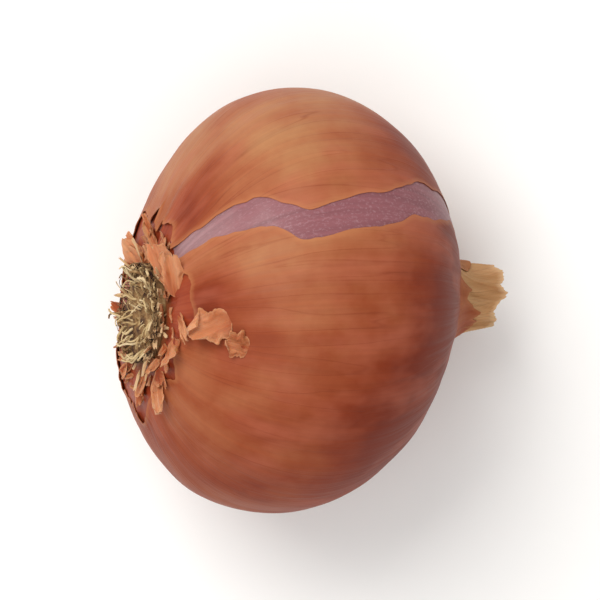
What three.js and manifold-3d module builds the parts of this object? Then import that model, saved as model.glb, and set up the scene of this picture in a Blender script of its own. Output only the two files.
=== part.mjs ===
// A shallot that lies on its side: a squat round bulb in a split, torn dry skin, with its withered
// neck, its root tuft and loose flakes of older skin round the root end.
// Millimetres, +Z up. The neck points along +X and dips, and the root end is raised.
// The origin is the middle of the small flat spot that the shallot rests on.

import * as THREE from 'three';
import { mergeVertices } from 'three/addons/utils/BufferGeometryUtils.js';
import Module from 'manifold-3d';

const { degToRad, lerp, clamp, smoothstep } = THREE.MathUtils;
const wasm = await Module();
wasm.setup();

// Bulb: half sizes of the outer skin's surface
const AXIAL_HALF = 17.95;
const WIDE_HALF = 23.15;
const DEPTH_HALF = 20.0;
const FULLNESS = 2.07;
const TILT_DEG = 25;
const LEAN = 0.056;
const ROOT_SWAY = 1.5;
const LOBES = [
  { count: 2, share: 0.006, phase: 1.3 },
  { count: 3, share: 0.011, phase: 0.9 },
  { count: 5, share: 0.007, phase: 2.1 },
];

// Root end hollow and neck end shoulder: height, and radius as a share of the bulb's
const ROOT_HOLLOW = { height: 1.3, radius: 0.26 };
const NECK_SHOULDER = { height: 2.6, radius: 0.25 };

// Flat spot: how far the round underside is pressed in
const FLAT_DEPTH = 1.0;

// Outer skin
const SKIN_THICK = 0.6;
const GAP = 0.3;
const SKIN_END_DEG = 162.5;
const SKIN_ROWS = 20;
const SKIN_COLS = 46;

// The split in the outer skin, from root to neck: angle from the root, azimuth, half width
const SPLIT_PATH = [
  { theta: 20, phi: 42, half: 0.8 },
  { theta: 36, phi: 36, half: 1.1 },
  { theta: 54, phi: 32, half: 1.7 },
  { theta: 72, phi: 22, half: 1.5 },
  { theta: 93, phi: 25, half: 1.75 },
  { theta: 120, phi: 32, half: 1.9 },
  { theta: 145, phi: 39, half: 1.2 },
  { theta: 165, phi: 40, half: 0.35 },
];

// The torn edge round the root end: mean angle from the root, and its waves
const TEAR_DEG = 25.5;
const TEAR_WAVES = [
  { count: 3, deg: 2.6, phase: 1.1 },
  { count: 7, deg: 2.0, phase: 0.4 },
  { count: 12, deg: 1.5, phase: 2.3 },
];

// Bulb body inside the skin
const BULB_ROWS = 24;
const BULB_COLS = 48;

// Neck
const NECK_RIM_DEG = 164.0;
const NECK_RADIUS = 0.135;
const NECK_FLARE = 1.5;
const NECK_LENGTH = 6.2;
const NECK_FOLDS = 7;
const NECK_FOLD_DEPTH = 0.11;
const NECK_CREASES = 3;
const NECK_CREASE_DEPTH = 0.12;
const NECK_TWIST = 0.11;
const NECK_TEETH = 0.8;
const NECK_BEND = { up: 0.8, side: 0.5 };
const NECK_ROWS = 7;
const NECK_COLS = 35;
const NECK_CUP = { depth: 1.1, radius: 0.66 };

// Root tuft
const SEED = 16;
const PLATE_DEG = 12.6;
const PLATE_CROWN = 0.9;
const PLATE_EDGE = 0.1;
const PLATE_COLS = 20;
const ROOTS = 48;
const GOLDEN_ANGLE = 2.39996;
const ROOT_SIDES = 3;
const ROOT_RINGS = 4;
const ROOT_LENGTH = { short: 1.5, long: 3.7 };
const ROOT_RADIUS = { thin: 0.3, thick: 0.42, tip: 0.6 };
const ROOT_BEND = { start: 0.2, most: 1.5, step: 0.62, turn: 1.7 };
const ROOT_FOOT = -0.15;
const ROOT_REACH = 5.3;
const ROOT_LOW_LIFT = 0.75;

// Loose flakes of older skin. Foot at theta and phi. Heading 0 points to the neck, 90 round the
// bulb. Lift is the foot's height over the outer skin's surface, rise and curl are degrees out of
// that surface, roll turns it about its own length, foot and tip are widths as a share of the
// flake's own, and skew draws it aside.
const FLAKES = [
  { theta: 19.8, phi: 12, heading: 66, length: 5.0, width: 2.7, foot: 0.2, tip: 0.55, skew: -0.2,
    lift: -0.1, rise: 20, curl: 6, cup: 0.35, roll: 36 },
  { theta: 15.6, phi: 26, heading: 62, length: 4.6, width: 2.9, foot: 0.12, tip: 0.9, skew: 0.3,
    lift: -0.1, rise: 16, curl: 10, cup: -0.3, roll: 32 },
  { theta: 17, phi: 74, heading: 48, length: 4.4, width: 1.0, foot: 0.7, tip: 0.4, skew: -0.3,
    lift: -0.1, rise: 12, curl: 10, cup: 0.1, roll: 24 },
  { theta: 43.5, phi: -4, heading: 206, length: 4.6, width: 3.9, foot: 0.6, tip: 0.5, skew: 0.3,
    lift: 0.4, rise: 9, curl: 32, cup: 0.35, roll: 0 },
  { theta: 51, phi: -14, heading: 166, length: 2.6, width: 2.7, foot: 0.7, tip: 0.6, skew: -0.4,
    lift: 0.4, rise: 12, curl: 34, cup: 0.3, roll: 0 },
  { theta: 21.5, phi: 0, heading: -46, length: 4.2, width: 1.3, foot: 0.5, tip: 0.6, skew: -0.3,
    lift: -0.1, rise: 10, curl: 8, cup: 0.1, roll: 0 },
  { theta: 19.5, phi: -22, heading: -18, length: 3.6, width: 2.6, foot: 0.6, tip: 0.7, skew: 0.3,
    lift: -0.1, rise: 12, curl: 34, cup: 0.4, roll: -12 },
  { theta: 17.5, phi: -62, heading: 4, length: 5.0, width: 2.2, foot: 0.6, tip: 0.3, skew: 0.5,
    lift: -0.1, rise: 8, curl: 10, cup: 0.3, roll: 0 },
  { theta: 15.5, phi: 128, heading: 10, length: 4.0, width: 3.0, foot: 0.5, tip: 0.4, skew: -0.3,
    lift: -0.1, rise: 5, curl: 8, cup: 0.3, roll: 0 },
];
const FLAKE_THICK = 0.6;
const FLAKE_ROWS = 6;
const FLAKE_COLS = 4;

const COLOURS = {
  bulb: 0x9c5a5c,
  outerSkin: 0xb9693f,
  neck: 0xc59a6a,
  roots: 0xc2a876,
  flake: 0xdd9a70,
};

const tilt = degToRad(TILT_DEG);
const axis = new THREE.Vector3(Math.cos(tilt), 0, -Math.sin(tilt));
const upward = new THREE.Vector3(Math.sin(tilt), 0, Math.cos(tilt));
const sideways = new THREE.Vector3(0, 1, 0);

// Seeded random draw, the same on every run
function randomFrom(seed) {
  let state = seed >>> 0;
  return () => {
    state = (Math.imul(state, 1664525) + 1013904223) >>> 0;
    return state / 4294967296;
  };
}

// A point given along the bulb's axis, upward across it and sideways across it. The root end is
// bent a little to one side.
function placed(along, up, side) {
  const point = new THREE.Vector3();
  point.addScaledVector(axis, along);
  point.addScaledVector(upward, up);
  point.addScaledVector(sideways, side);
  point.x += LEAN * side;
  point.y -= ROOT_SWAY * (Math.max(0, -along) / AXIAL_HALF) ** 2;
  return point;
}

function lobed(theta, phi) {
  let sum = 0;
  for (const lobe of LOBES) {
    sum += lobe.share * Math.cos(lobe.count * phi + lobe.phase);
  }
  return 1 + sum * Math.sin(theta) ** 2;
}

// The bulb's free outer surface before it is set down: theta runs from the root pole to the neck
function bodyPoint(theta, phi) {
  const power = 2 / FULLNESS;
  const along = Math.cos(theta);
  const radial = Math.abs(Math.sin(theta)) ** power * lobed(theta, phi);
  const end = along > 0 ? ROOT_HOLLOW : NECK_SHOULDER;
  const bump = end.height * Math.exp(-((radial / end.radius) ** 2));
  const reach = -AXIAL_HALF * Math.sign(along) * Math.abs(along) ** power + bump;
  return placed(reach, radial * DEPTH_HALF * Math.cos(phi), radial * WIDE_HALF * Math.sin(phi));
}

// The point right under the bulb, which the flat spot is pressed in at
function findRest() {
  const steps = 180;
  const lowest = new THREE.Vector3(0, 0, Infinity);
  for (let i = 1; i < steps; i += 1) {
    for (let j = 0; j < 2 * steps; j += 1) {
      const point = bodyPoint((i * Math.PI) / steps, (j * Math.PI) / steps);
      if (point.z < lowest.z) {
        lowest.copy(point);
      }
    }
  }
  lowest.z += FLAT_DEPTH;
  return lowest;
}
const rest = findRest();

function bodyNormal(theta, phi) {
  const step = 1e-3;
  if (theta < step || theta > Math.PI - step) {
    return axis.clone().multiplyScalar(theta < 1 ? -1 : 1);
  }
  const towardsNeck = bodyPoint(theta + step, phi).sub(bodyPoint(theta - step, phi));
  const around = bodyPoint(theta, phi + step).sub(bodyPoint(theta, phi - step));
  return towardsNeck.cross(around).normalize();
}

// A point at a height over the outer skin's surface, flattened where the shallot rests
function skinPoint(theta, phi, lift) {
  const point = bodyPoint(theta, phi).addScaledVector(bodyNormal(theta, phi), lift).sub(rest);
  point.z = Math.max(point.z, Math.max(0, -lift));
  return point;
}

// Middle and half width of the split at an angle from the root, both as azimuths
function splitAt(theta) {
  const deg = theta * THREE.MathUtils.RAD2DEG;
  const last = SPLIT_PATH.length - 2;
  let k = 0;
  while (k < last && deg > SPLIT_PATH[k + 1].theta) {
    k += 1;
  }
  const [from, to] = [SPLIT_PATH[k], SPLIT_PATH[k + 1]];
  const share = smoothstep(deg, from.theta, to.theta);
  const phi = degToRad(lerp(from.phi, to.phi, share));
  const radius = Math.hypot(DEPTH_HALF * Math.cos(phi), WIDE_HALF * Math.sin(phi)) * Math.sin(theta);
  return { phi, half: lerp(from.half, to.half, share) / radius };
}

// How far from the root pole the outer skin begins, for an azimuth
function tearAt(phi) {
  let deg = TEAR_DEG;
  for (const wave of TEAR_WAVES) {
    deg += wave.deg * Math.sin(wave.count * phi + wave.phase);
  }
  return degToRad(deg);
}

function geometryOf(points, faces) {
  const geometry = new THREE.BufferGeometry();
  const positions = points.flatMap((point) => [point.x, point.y, point.z]);
  geometry.setAttribute('position', new THREE.Float32BufferAttribute(positions, 3));
  geometry.setIndex(faces.flat());
  return geometry;
}

// A closed body of rings between two end points. pointAt(row, share) gives a point for a row and
// a share of the way round.
function ringed(rows, cols, pointAt) {
  const points = [pointAt(0, 0)];
  for (let i = 1; i < rows; i += 1) {
    for (let j = 0; j < cols; j += 1) {
      points.push(pointAt(i, j / cols));
    }
  }
  points.push(pointAt(rows, 0));
  const end = points.length - 1;
  const at = (i, j) => 1 + (i - 1) * cols + (j % cols);
  const faces = [];
  for (let j = 0; j < cols; j += 1) {
    faces.push([0, at(1, j), at(1, j + 1)]);
    for (let i = 1; i < rows - 1; i += 1) {
      faces.push([at(i, j), at(i + 1, j), at(i, j + 1)]);
      faces.push([at(i + 1, j), at(i + 1, j + 1), at(i, j + 1)]);
    }
    faces.push([at(rows - 1, j), end, at(rows - 1, j + 1)]);
  }
  return geometryOf(points, faces);
}

// A sheet with an outer and an inner side and a rim. pointAt(row, col, inner) gives its points.
function sheet(rows, cols, pointAt) {
  const points = [];
  for (const inner of [false, true]) {
    for (let i = 0; i <= rows; i += 1) {
      for (let j = 0; j <= cols; j += 1) {
        points.push(pointAt(i, j, inner));
      }
    }
  }
  const layer = (rows + 1) * (cols + 1);
  const at = (i, j) => i * (cols + 1) + j;
  const faces = [];
  const quad = (a, b, c, d) => faces.push([a, b, d], [b, c, d]);
  for (let i = 0; i < rows; i += 1) {
    for (let j = 0; j < cols; j += 1) {
      const corners = [at(i, j), at(i + 1, j), at(i + 1, j + 1), at(i, j + 1)];
      quad(...corners);
      const [a, b, c, d] = corners.map((corner) => corner + layer);
      faces.push([a, d, b], [b, d, c]);
    }
  }
  const rim = (from, to) => quad(to, from, from + layer, to + layer);
  for (let i = 0; i < rows; i += 1) {
    rim(at(i, 0), at(i + 1, 0));
    rim(at(i + 1, cols), at(i, cols));
  }
  for (let j = 0; j < cols; j += 1) {
    rim(at(rows, j), at(rows, j + 1));
    rim(at(0, j + 1), at(0, j));
  }
  return geometryOf(points, faces);
}

function bulb() {
  const lift = -SKIN_THICK - GAP;
  return ringed(BULB_ROWS, BULB_COLS, (row, share) => {
    return skinPoint((row / BULB_ROWS) * Math.PI, share * 2 * Math.PI, lift);
  });
}

function outerSkin() {
  return sheet(SKIN_ROWS, SKIN_COLS, (row, col, inner) => {
    const share = col / SKIN_COLS;
    const start = splitAt(degToRad(TEAR_DEG)).phi;
    const theta = lerp(tearAt(start + share * 2 * Math.PI), degToRad(SKIN_END_DEG), row / SKIN_ROWS);
    const { phi, half } = splitAt(theta);
    const around = phi + half + share * 2 * (Math.PI - half);
    return skinPoint(theta, around, inner ? -SKIN_THICK : 0);
  });
}

// The neck's outside as a point of a folded, twisted tube that flares into the shoulder. Height is
// measured along the axis from the rim, and shrink draws the ring together.
function neckPoint(height, phi, shrink) {
  const power = 2 / FULLNESS;
  const rimRadius = Math.sin(degToRad(NECK_RIM_DEG)) ** power;
  const rim = AXIAL_HALF * Math.abs(Math.cos(degToRad(NECK_RIM_DEG))) ** power
    + NECK_SHOULDER.height * Math.exp(-((rimRadius / NECK_SHOULDER.radius) ** 2));
  const flare = (rimRadius - NECK_RADIUS) * Math.exp(-height / NECK_FLARE);
  const grown = smoothstep(height, 0, 3 * NECK_FLARE);
  const turned = phi + NECK_TWIST * height;
  const fold = 1 + grown * (NECK_FOLD_DEPTH * Math.cos(NECK_FOLDS * turned)
    + NECK_CREASE_DEPTH * Math.cos(NECK_CREASES * turned + 1));
  const radius = (NECK_RADIUS + flare) * fold * shrink;
  const bend = (height / NECK_LENGTH) ** 2;
  return placed(
    rim + height,
    radius * DEPTH_HALF * Math.cos(phi) + NECK_BEND.up * bend,
    radius * WIDE_HALF * Math.sin(phi) + NECK_BEND.side * bend,
  ).sub(rest);
}

function neck() {
  const underRows = 3;
  const rimRow = underRows + 1;
  const tipRow = rimRow + NECK_ROWS;
  return ringed(tipRow + 2, NECK_COLS, (row, share) => {
    const phi = share * 2 * Math.PI;
    if (row < rimRow) {
      return skinPoint(lerp(Math.PI, degToRad(NECK_RIM_DEG), row / underRows), phi, -SKIN_THICK);
    }
    if (row > tipRow) {
      const inward = row - tipRow;
      return neckPoint(NECK_LENGTH - NECK_CUP.depth * inward / 2, phi, NECK_CUP.radius * (2 - inward));
    }
    const tooth = NECK_TEETH * (Math.sin(NECK_CREASES * phi + 0.7) + Math.sin(NECK_FOLDS * phi + 2)) / 2;
    return neckPoint(((row - rimRow) / NECK_ROWS) ** 1.4 * (NECK_LENGTH + tooth), phi, 1);
  });
}

function solidOf(geometry) {
  const bare = geometry.clone();
  bare.deleteAttribute('normal');
  bare.deleteAttribute('uv');
  const merged = mergeVertices(bare, 1e-4);
  return new wasm.Manifold(new wasm.Mesh({
    numProp: 3,
    vertProperties: new Float32Array(merged.attributes.position.array),
    triVerts: new Uint32Array(merged.index.array),
  }));
}

function geometryFrom(solid) {
  const mesh = solid.getMesh();
  const geometry = new THREE.BufferGeometry();
  geometry.setAttribute('position', new THREE.BufferAttribute(new Float32Array(mesh.vertProperties), 3));
  geometry.setIndex(new THREE.BufferAttribute(new Uint32Array(mesh.triVerts), 1));
  return geometry;
}

// The hard disc that the roots grew from, bedded in the root end's hollow
function plate() {
  const edge = degToRad(PLATE_DEG);
  const half = 3;
  return ringed(2 * half + 1, PLATE_COLS, (row, share) => {
    const top = row <= half;
    const out = top ? row / half : (2 * half + 1 - row) / half;
    const lift = top ? lerp(PLATE_CROWN, PLATE_EDGE, out ** 2) : -SKIN_THICK;
    return skinPoint(edge * out, share * 2 * Math.PI, lift);
  });
}

// One dry root: it leaves the plate, turns outward and curls, and never sinks to the skin
function root(index, random) {
  const phi = index * GOLDEN_ANGLE + 0.5 * random();
  const inPlate = 0.92 * Math.sqrt((index + random()) / ROOTS);
  const length = lerp(ROOT_LENGTH.short, ROOT_LENGTH.long, random());
  const thick = lerp(ROOT_RADIUS.thin, ROOT_RADIUS.thick, random());
  const turn = (random() - 0.5) * ROOT_BEND.turn;
  const spread = lerp(0.25, 1.0, inPlate) * lerp(0.6, 1.25, random());
  const middle = skinPoint(0, 0, 0);
  const centres = [];
  let heading = phi;
  let bend = ROOT_BEND.start;
  const point = skinPoint(degToRad(PLATE_DEG) * inPlate, phi, ROOT_FOOT);
  for (let i = 0; i <= ROOT_RINGS; i += 1) {
    centres.push(point.clone());
    const step = new THREE.Vector3();
    step.addScaledVector(axis, -Math.cos(bend));
    step.addScaledVector(upward, Math.sin(bend) * Math.cos(heading));
    step.addScaledVector(sideways, Math.sin(bend) * Math.sin(heading));
    point.addScaledVector(step, length / ROOT_RINGS);
    const out = point.clone().sub(middle);
    const height = -out.dot(axis);
    const across = out.addScaledVector(axis, height);
    if (across.length() > ROOT_REACH) {
      point.addScaledVector(across, ROOT_REACH / across.length() - 1);
    }
    if (height < ROOT_LOW_LIFT) {
      point.addScaledVector(axis, height - ROOT_LOW_LIFT);
    }
    heading += turn;
    bend = Math.min(bend + spread * ROOT_BEND.step, ROOT_BEND.most);
  }
  return ringed(ROOT_RINGS + 2, ROOT_SIDES, (row, share) => {
    const k = clamp(row - 1, 0, ROOT_RINGS);
    const centre = centres[k];
    if (row === 0 || row === ROOT_RINGS + 2) {
      return centre.clone();
    }
    const before = centres[Math.max(k - 1, 0)];
    const after = centres[Math.min(k + 1, ROOT_RINGS)];
    const along = after.clone().sub(before).normalize();
    const first = along.clone().cross(sideways).normalize();
    const second = first.clone().cross(along);
    const radius = thick * lerp(1, ROOT_RADIUS.tip, k / ROOT_RINGS);
    const angle = share * 2 * Math.PI;
    return centre.clone()
      .addScaledVector(first, radius * Math.cos(angle))
      .addScaledVector(second, radius * Math.sin(angle));
  });
}

function rootTuft() {
  const random = randomFrom(SEED);
  let tuft = solidOf(plate());
  for (let i = 0; i < ROOTS; i += 1) {
    tuft = tuft.add(solidOf(root(i, random)));
  }
  return geometryFrom(tuft);
}

// One curled flake: a petal outline bent up from its foot
function flake({
  theta, phi, heading, length, width, foot, tip, skew, lift, rise, curl, cup, roll,
}) {
  const [t, p] = [degToRad(theta), degToRad(phi)];
  const start = skinPoint(t, p, lift + FLAKE_THICK / 2);
  const normal = bodyNormal(t, p);
  const around = normal.clone().cross(bodyPoint(t + 0.01, p).sub(bodyPoint(t, p))).normalize();
  const neckward = around.clone().cross(normal);
  const ahead = neckward.multiplyScalar(Math.cos(degToRad(heading)))
    .addScaledVector(around, Math.sin(degToRad(heading)));
  const level = normal.clone().cross(ahead);
  const [turned, kept] = [Math.sin(degToRad(roll)), Math.cos(degToRad(roll))];
  const across = level.clone().multiplyScalar(kept).addScaledVector(normal, turned);
  const face = normal.clone().multiplyScalar(kept).addScaledVector(level, -turned);
  return sheet(FLAKE_ROWS, FLAKE_COLS, (row, col, inner) => {
    const centre = start.clone();
    const parts = 4;
    for (let k = 0; k < row * parts; k += 1) {
      const bend = degToRad(rise + (curl * (k + 0.5)) / (FLAKE_ROWS * parts));
      centre.addScaledVector(ahead, (Math.cos(bend) * length) / (FLAKE_ROWS * parts));
      centre.addScaledVector(normal, (Math.sin(bend) * length) / (FLAKE_ROWS * parts));
    }
    const share = row / FLAKE_ROWS;
    const bend = degToRad(rise + curl * share);
    const out = ahead.clone().multiplyScalar(-Math.sin(bend)).addScaledVector(face, Math.cos(bend));
    const ends = lerp(foot, tip, share);
    const petal = ends + (1 - ends) * Math.sin(Math.PI * share) ** 0.7;
    const aside = (2 * col) / FLAKE_COLS - 1;
    centre.addScaledVector(across, (aside * width * petal) / 2 + skew * share * share);
    centre.addScaledVector(out, cup * aside * aside * share);
    return centre.addScaledVector(out, (inner ? -1 : 1) * (FLAKE_THICK / 2));
  });
}

function piece(name, geometry, colour, roughness) {
  geometry.computeVertexNormals();
  const material = new THREE.MeshStandardMaterial({ color: colour, roughness, metalness: 0 });
  const mesh = new THREE.Mesh(geometry, material);
  mesh.name = name;
  return mesh;
}

const shallot = new THREE.Group();
shallot.add(
  piece('bulb', bulb(), COLOURS.bulb, 0.38),
  piece('outer_skin', outerSkin(), COLOURS.outerSkin, 0.45),
  piece('neck', neck(), COLOURS.neck, 0.7),
  piece('root_tuft', rootTuft(), COLOURS.roots, 0.9),
);
FLAKES.forEach((shape, index) => {
  shallot.add(piece(`skin_flake_${index + 1}`, flake(shape), COLOURS.flake, 0.55));
});

export default shallot;
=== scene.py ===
import logging
import math
from collections.abc import Mapping, Sequence
from dataclasses import dataclass, field
from enum import Enum
from functools import cached_property, partial

import bmesh
import bpy
import numpy as np
from numpy.typing import NDArray
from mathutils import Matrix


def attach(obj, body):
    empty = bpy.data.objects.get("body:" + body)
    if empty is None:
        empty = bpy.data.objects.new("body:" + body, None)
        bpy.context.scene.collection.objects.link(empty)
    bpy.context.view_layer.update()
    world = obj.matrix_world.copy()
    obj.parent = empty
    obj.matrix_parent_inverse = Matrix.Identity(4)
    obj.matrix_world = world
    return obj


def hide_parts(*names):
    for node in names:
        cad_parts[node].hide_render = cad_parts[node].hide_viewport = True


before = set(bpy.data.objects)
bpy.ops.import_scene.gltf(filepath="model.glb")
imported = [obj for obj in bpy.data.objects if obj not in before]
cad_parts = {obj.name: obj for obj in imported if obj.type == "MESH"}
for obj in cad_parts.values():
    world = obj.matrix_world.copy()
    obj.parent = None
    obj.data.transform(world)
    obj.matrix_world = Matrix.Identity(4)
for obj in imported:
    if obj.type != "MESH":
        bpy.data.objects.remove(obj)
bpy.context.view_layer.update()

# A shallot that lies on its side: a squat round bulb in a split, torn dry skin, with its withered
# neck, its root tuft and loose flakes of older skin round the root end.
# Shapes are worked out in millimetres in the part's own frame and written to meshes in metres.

Array = NDArray[np.float64]
Row = Array | Sequence[float] | float
Range = tuple[float, float]
Socket = bpy.types.NodeSocket
Tree = bpy.types.NodeTree

MM = 0.001
PER_MM = 1000.0
BODY = "root"
FULL_TURN = 2 * math.pi
# Distances to a torn edge are counted up to this.
FAR_MM = 9.0

log = logging.getLogger("shallot")


class Slot(Enum):
    """The record's material slots."""

    FLESH = "fleshy_scale"
    SKIN = "dry_skin"
    NECK = "withered_leaf"
    ROOTS = "dry_root"
    FLAKE = "skin_flake"


# Numbers and noise


def lerp(start: Array | float, end: Array | float, share: Array | float) -> Array | float:
    """Go from start to end by a share."""
    return start + (end - start) * share


def smooth(value: Array | float, low: float, high: float) -> Array:
    """Rise smoothly from 0 at low to 1 at high."""
    share = np.clip((np.asarray(value, float) - low) / (high - low), 0.0, 1.0)
    return share * share * (3 - 2 * share)


def turn_between(phi: Array | float, middle: float) -> Array:
    """Give the signed angle from an azimuth in the middle to phi, from -pi to pi."""
    return np.arctan2(np.sin(phi - middle), np.cos(phi - middle))


def circle(phi: Array) -> Array:
    """Give the points of a unit circle at azimuths phi."""
    return np.stack([np.cos(phi), np.sin(phi), 0 * phi], axis=-1)


def capped(first: Row, rows: Array, last: Row) -> Array:
    """Put one row before many and one after them."""
    return np.concatenate([[first], rows, [last]])


def lattice_noise(points: Array, seed: int) -> Array:
    """Smooth seeded noise from -1 to 1 with one feature for each unit of length.

    Args:
        points: Places, with three numbers in the last axis.
        seed: Which noise it is.

    Returns:
        One number for each place.
    """
    cell = np.floor(points).astype(np.int64)
    share = points - cell
    share = share * share * (3 - 2 * share)
    total = np.zeros(points.shape[:-1])
    for corner in np.ndindex(2, 2, 2):
        at = cell + np.array(corner)
        mixed = at[..., 0] * 73856093 ^ at[..., 1] * 19349663 ^ at[..., 2] * 83492791
        mixed = (mixed ^ seed * 2654435761) & 0xFFFFFFFF
        for _ in range(2):
            mixed = ((mixed >> 15) ^ mixed) * 0x2C1B3C6D & 0xFFFFFFFF
        weight = np.prod(np.where(np.array(corner) == 1, share, 1 - share), axis=-1)
        total += weight * (mixed / 0x7FFFFFFF - 1)
    return total


def fractal(points: Array, octaves: int, seed: int) -> Array:
    """Sum noise octaves, each half as large and half as strong as the last.

    Args:
        points: Places, with three numbers in the last axis.
        octaves: How many are summed.
        seed: Which noise it is.

    Returns:
        One number for each place, mostly between -1 and 1.
    """
    total = np.zeros(points.shape[:-1])
    for octave in range(octaves):
        total += lattice_noise(points * 2**octave + 17.3 * octave, seed + octave) / 2**octave
    return total


# The form that everything lies on


@dataclass(frozen=True)
class NeckForm:
    """The withered neck: a folded, twisted tube that flares into the bulb's shoulder.

    Its radius is a share of the bulb's half widths, fold and crease depths are shares of its own
    radius, twist is in radians per mm, and the rest is in mm.
    """

    rim_deg: float = 164.0
    radius: float = 0.135
    flare: float = 1.5
    length: float = 6.2
    folds: int = 7
    fold_depth: float = 0.11
    creases: int = 3
    crease_depth: float = 0.12
    twist: float = 0.11
    teeth: float = 0.8
    bend_up: float = 0.8
    bend_side: float = 0.5


@dataclass(frozen=True)
class BulbForm:
    """The shallot's round form. Theta runs from the root pole to the neck, phi round the axis."""

    axial_half: float = 17.95
    wide_half: float = 23.15
    depth_half: float = 20.0
    fullness: float = 2.07
    tilt_deg: float = 25.0
    lean: float = 0.056
    root_sway: float = 1.5
    lobes: tuple[tuple[int, float, float], ...] = (
        (2, 0.006, 1.3), (3, 0.011, 0.9), (5, 0.007, 2.1))
    root_hollow: tuple[float, float] = (1.3, 0.26)
    neck_shoulder: tuple[float, float] = (2.6, 0.25)
    flat_depth: float = 1.0
    neck: NeckForm = NeckForm()

    @cached_property
    def axis(self) -> Array:
        """The direction from root to neck."""
        tilt = math.radians(self.tilt_deg)
        return np.array([math.cos(tilt), 0.0, -math.sin(tilt)])

    @cached_property
    def upward(self) -> Array:
        """The direction across the axis, upward."""
        tilt = math.radians(self.tilt_deg)
        return np.array([math.sin(tilt), 0.0, math.cos(tilt)])

    @cached_property
    def sideways(self) -> Array:
        """The direction across the axis, level."""
        return np.array([0.0, 1.0, 0.0])

    @cached_property
    def rest(self) -> Array:
        """The point under the bulb that the flat spot is pressed in at."""
        steps = 180
        theta = (np.arange(1, steps) * math.pi / steps)[:, None]
        phi = (np.arange(2 * steps) * math.pi / steps)[None, :]
        points = self.body(theta, phi).reshape(-1, 3)
        lowest = points[points[:, 2].argmin()].copy()
        lowest[2] += self.flat_depth
        return lowest

    @property
    def power(self) -> float:
        """The exponent that makes the round form slightly full."""
        return 2 / self.fullness

    @property
    def mean_half(self) -> float:
        """Half the mean width across the axis."""
        return (self.depth_half + self.wide_half) / 2

    @property
    def meridian_mm(self) -> float:
        """About how many millimetres one radian from the root spans."""
        return self.axial_half * 1.1

    @property
    def rim_share(self) -> float:
        """The bulb's radius at the neck's rim, as a share of its half widths."""
        return math.sin(math.radians(self.neck.rim_deg)) ** self.power

    def placed(self, along: Array, up: Array, side: Array) -> Array:
        """Turn distances along and across the axis into points.

        Args:
            along: From root to neck.
            up: Across the axis, upward.
            side: Across the axis, level.

        Returns:
            The points, before the bulb is set down.
        """
        along, up, side = (
            np.asarray(x, float)[..., None] for x in np.broadcast_arrays(along, up, side))
        points = along * self.axis + up * self.upward + side * self.sideways
        points[..., 0] += self.lean * side[..., 0]
        points[..., 1] -= self.root_sway * (np.maximum(-along[..., 0], 0) / self.axial_half) ** 2
        return points

    def body(self, theta: Array, phi: Array) -> Array:
        """Give points of the free outer surface before the bulb is set down."""
        along = np.cos(theta)
        lobes = sum(share * np.cos(count * phi + phase) for count, share, phase in self.lobes)
        radial = np.abs(np.sin(theta)) ** self.power * (1 + lobes * np.sin(theta) ** 2)
        height = np.where(along > 0, self.root_hollow[0], self.neck_shoulder[0])
        radius = np.where(along > 0, self.root_hollow[1], self.neck_shoulder[1])
        bump = height * np.exp(-((radial / radius) ** 2))
        reach = -self.axial_half * np.sign(along) * np.abs(along) ** self.power + bump
        up = radial * self.depth_half * np.cos(phi)
        return self.placed(reach, up, radial * self.wide_half * np.sin(phi))

    def normal(self, theta: Array, phi: Array) -> Array:
        """Give the outward directions at surface points."""
        step = 1e-3
        theta = np.clip(theta, 2 * step, math.pi - 2 * step)
        neckward = self.body(theta + step, phi) - self.body(theta - step, phi)
        around = self.body(theta, phi + step) - self.body(theta, phi - step)
        out = np.cross(neckward, around)
        return out / np.linalg.norm(out, axis=-1, keepdims=True)

    def skin(self, theta: Array, phi: Array, lift: Array | float) -> Array:
        """Give points at a height over the outer skin's surface, flattened where the bulb rests.

        Args:
            theta: Angles from the root pole.
            phi: Angles round the axis.
            lift: Heights over the surface.

        Returns:
            The points in the part's frame.
        """
        theta, phi, lift = np.broadcast_arrays(theta, phi, lift)
        points = self.body(theta, phi) + self.normal(theta, phi) * lift[..., None] - self.rest
        points[..., 2] = np.maximum(points[..., 2], np.maximum(0.0, -lift))
        return points

    def neck_share(self, height: Array) -> Array:
        """Give the neck's mean radius at heights from its rim, as a share of the half widths."""
        neck = self.neck
        return neck.radius + (self.rim_share - neck.radius) * np.exp(-height / neck.flare)

    def neck_points(self, height: Array, phi: Array, shrink: Array | float) -> Array:
        """Give points of the neck's outside.

        Args:
            height: Distance along the axis from the neck's rim.
            phi: Angles round the axis.
            shrink: How far each ring is drawn together, 1 for not at all.

        Returns:
            The points in the part's frame.
        """
        neck = self.neck
        shoulder, spread = self.neck_shoulder
        rim = self.axial_half * abs(math.cos(math.radians(neck.rim_deg))) ** self.power
        rim += shoulder * math.exp(-((self.rim_share / spread) ** 2))
        grown = smooth(height, 0.0, 3 * neck.flare)
        turned = phi + neck.twist * height
        fold = neck.fold_depth * np.cos(neck.folds * turned)
        fold = fold + neck.crease_depth * np.cos(neck.creases * turned + 1)
        radius = self.neck_share(height) * (1 + grown * fold) * shrink
        bend = (height / neck.length) ** 2
        up = radius * self.depth_half * np.cos(phi) + neck.bend_up * bend
        side = radius * self.wide_half * np.sin(phi) + neck.bend_side * bend
        return self.placed(rim + height, up, side) - self.rest

    def neck_girth(self, height: Array) -> Array:
        """Give the neck's mean radius in mm at heights from its rim."""
        return self.neck_share(height) * self.mean_half

    def around_mm(self, theta: Array, phi: Array) -> Array:
        """Give how many millimetres one radian of azimuth spans at a place."""
        return np.hypot(self.depth_half * np.cos(phi), self.wide_half * np.sin(phi)) * np.sin(theta)

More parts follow.
